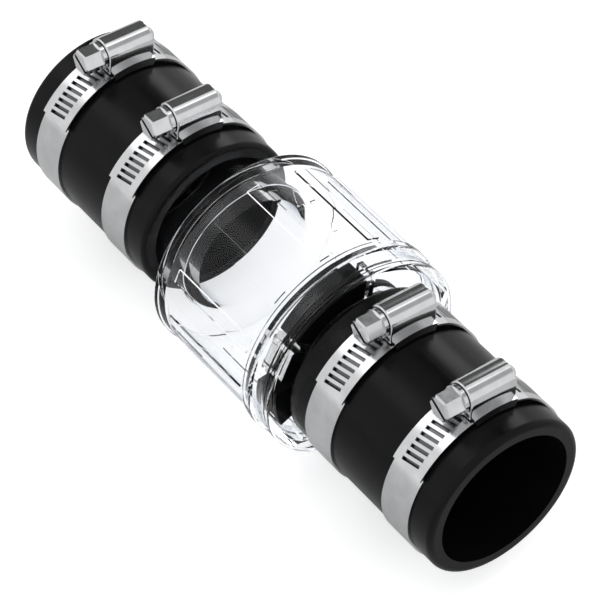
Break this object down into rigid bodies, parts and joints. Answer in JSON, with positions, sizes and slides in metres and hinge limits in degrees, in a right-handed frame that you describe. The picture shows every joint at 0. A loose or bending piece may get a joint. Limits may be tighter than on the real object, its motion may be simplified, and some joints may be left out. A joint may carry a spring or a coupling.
{
  "type": "check valve",
  "caption": "Swing check valve with a clear ribbed body, a rubber coupling on each end and worm-drive clamps for slip-on pipe.",
  "frame": {"origin": "centre of the inlet mouth, on the pipe axis", "axes": "+X along the pipe axis in the flow direction, +Z towards the clamp screws"},
  "size_m": [0.217, 0.0744, 0.0787],
  "materials": {
    "coupling_rubber": "satin black moulded rubber",
    "clear_plastic": "clear, polished, moulded",
    "flapper_rubber": "matt black",
    "stainless_band": "rolled stainless strip",
    "plated_steel": "bright plated screw",
    "stainless_fittings": "bright machined stainless"
  },
  "bodies": {
    "root": {"inlet_coupling": "coupling_rubber", "outlet_coupling": "coupling_rubber", "inlet_shell": "clear_plastic", "chamber_shell": "clear_plastic", "hinge_bracket": "stainless_fittings", "hinge_pin": "stainless_fittings", "hinge_pin_clip": "stainless_fittings", "hinge_pad": "flapper_rubber", "clamp_1_band": "stainless_band", "clamp_1_saddle": "stainless_band", "clamp_1_housing": "stainless_band", "clamp_2_band": "stainless_band", "clamp_2_saddle": "stainless_band", "clamp_2_housing": "stainless_band", "clamp_3_band": "stainless_band", "clamp_3_saddle": "stainless_band", "clamp_3_housing": "stainless_band", "clamp_4_band": "stainless_band", "clamp_4_saddle": "stainless_band", "clamp_4_housing": "stainless_band"},
    "flapper": {"flapper_disc": "flapper_rubber", "flapper_weight": "stainless_fittings", "flapper_washer": "stainless_fittings", "flapper_arm": "stainless_fittings", "flapper_bolt": "stainless_fittings", "flapper_nut": "stainless_fittings"},
    "clamp_1_worm": {"clamp_1_screw": "plated_steel"},
    "clamp_2_worm": {"clamp_2_screw": "plated_steel"},
    "clamp_3_worm": {"clamp_3_screw": "plated_steel"},
    "clamp_4_worm": {"clamp_4_screw": "plated_steel"}
  },
  "joints": [
    {"name": "flapper_swing", "type": "hinge", "parent": "root", "child": "flapper", "pos_m": [0.07998, 0.02503, 0.01167], "axis": [0, -0.4226, 0.9063], "range_deg": [0, 60]},
    {"name": "clamp_1_turn", "type": "hinge", "parent": "root", "child": "clamp_1_worm", "pos_m": [0.01585, -0.00248, 0.03546], "axis": [0, 0.9976, 0.0698], "continuous": true},
    {"name": "clamp_2_turn", "type": "hinge", "parent": "root", "child": "clamp_2_worm", "pos_m": [0.05365, -0.00248, 0.03546], "axis": [0, 0.9976, 0.0698], "continuous": true},
    {"name": "clamp_3_turn", "type": "hinge", "parent": "root", "child": "clamp_3_worm", "pos_m": [0.16335, -0.00248, 0.03546], "axis": [0, 0.9976, 0.0698], "continuous": true},
    {"name": "clamp_4_turn", "type": "hinge", "parent": "root", "child": "clamp_4_worm", "pos_m": [0.20115, -0.00248, 0.03546], "axis": [0, 0.9976, 0.0698], "continuous": true}
  ]
}
